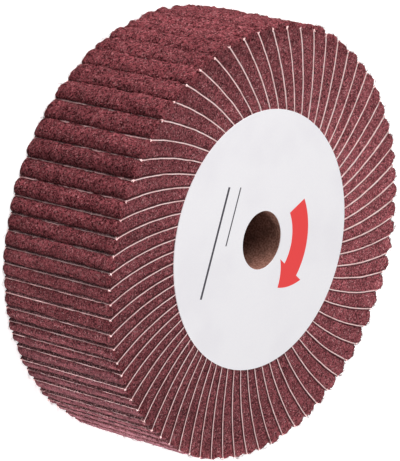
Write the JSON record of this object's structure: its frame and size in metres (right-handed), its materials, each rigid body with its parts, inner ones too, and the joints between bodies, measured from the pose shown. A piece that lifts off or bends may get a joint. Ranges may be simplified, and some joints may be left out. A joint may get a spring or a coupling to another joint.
{
  "type": "non-woven flap polishing wheel",
  "caption": "Round polishing wheel of leaning non-woven web flaps and thin abrasive cloth leaves set around a resin hub with a fibre core tube, a through bore and a plain paper label.",
  "frame": {"origin": "centre of the bore at the wheel's back face, the face that it lies on", "axes": "+Z along the wheel's axis towards the label; +X and +Y in the plane of the wheel, +Y towards the top of the wheel as the picture shows it"},
  "size_m": [0.1509, 0.1505, 0.0478],
  "materials": {
    "core_tube": "wound kraft paper, dull",
    "resin": "cured resin, satin",
    "label": "white paper, dull",
    "web": "open maroon nylon web with bonded grain",
    "abrasive_cloth": "pale cotton backing with dark bonded grain on one face"
  },
  "bodies": {
    "root": {"core_tube": "core_tube", "resin_hub": "resin", "front_label": "label", "web_flaps_01": "web", "web_flaps_02": "web", "web_flaps_03": "web", "web_flaps_04": "web", "web_flaps_05": "web", "web_flaps_06": "web", "web_flaps_07": "web", "web_flaps_08": "web", "web_flaps_09": "web", "web_flaps_10": "web", "web_flaps_11": "web", "web_flaps_12": "web", "web_flaps_13": "web", "web_flaps_14": "web", "web_flaps_15": "web", "web_flaps_16": "web", "web_flaps_17": "web", "web_flaps_18": "web", "web_flaps_19": "web", "web_flaps_20": "web", "web_flaps_21": "web", "web_flaps_22": "web", "web_flaps_23": "web", "web_flaps_24": "web", "abrasive_leaves_01": "abrasive_cloth", "abrasive_leaves_02": "abrasive_cloth", "abrasive_leaves_03": "abrasive_cloth", "abrasive_leaves_04": "abrasive_cloth", "abrasive_leaves_05": "abrasive_cloth", "abrasive_leaves_06": "abrasive_cloth", "abrasive_leaves_07": "abrasive_cloth", "abrasive_leaves_08": "abrasive_cloth", "abrasive_leaves_09": "abrasive_cloth", "abrasive_leaves_10": "abrasive_cloth", "abrasive_leaves_11": "abrasive_cloth", "abrasive_leaves_12": "abrasive_cloth", "abrasive_leaves_13": "abrasive_cloth", "abrasive_leaves_14": "abrasive_cloth", "abrasive_leaves_15": "abrasive_cloth", "abrasive_leaves_16": "abrasive_cloth", "abrasive_leaves_17": "abrasive_cloth", "abrasive_leaves_18": "abrasive_cloth", "abrasive_leaves_19": "abrasive_cloth", "abrasive_leaves_20": "abrasive_cloth", "abrasive_leaves_21": "abrasive_cloth", "abrasive_leaves_22": "abrasive_cloth", "abrasive_leaves_23": "abrasive_cloth", "abrasive_leaves_24": "abrasive_cloth"}
  },
  "joints": []
}
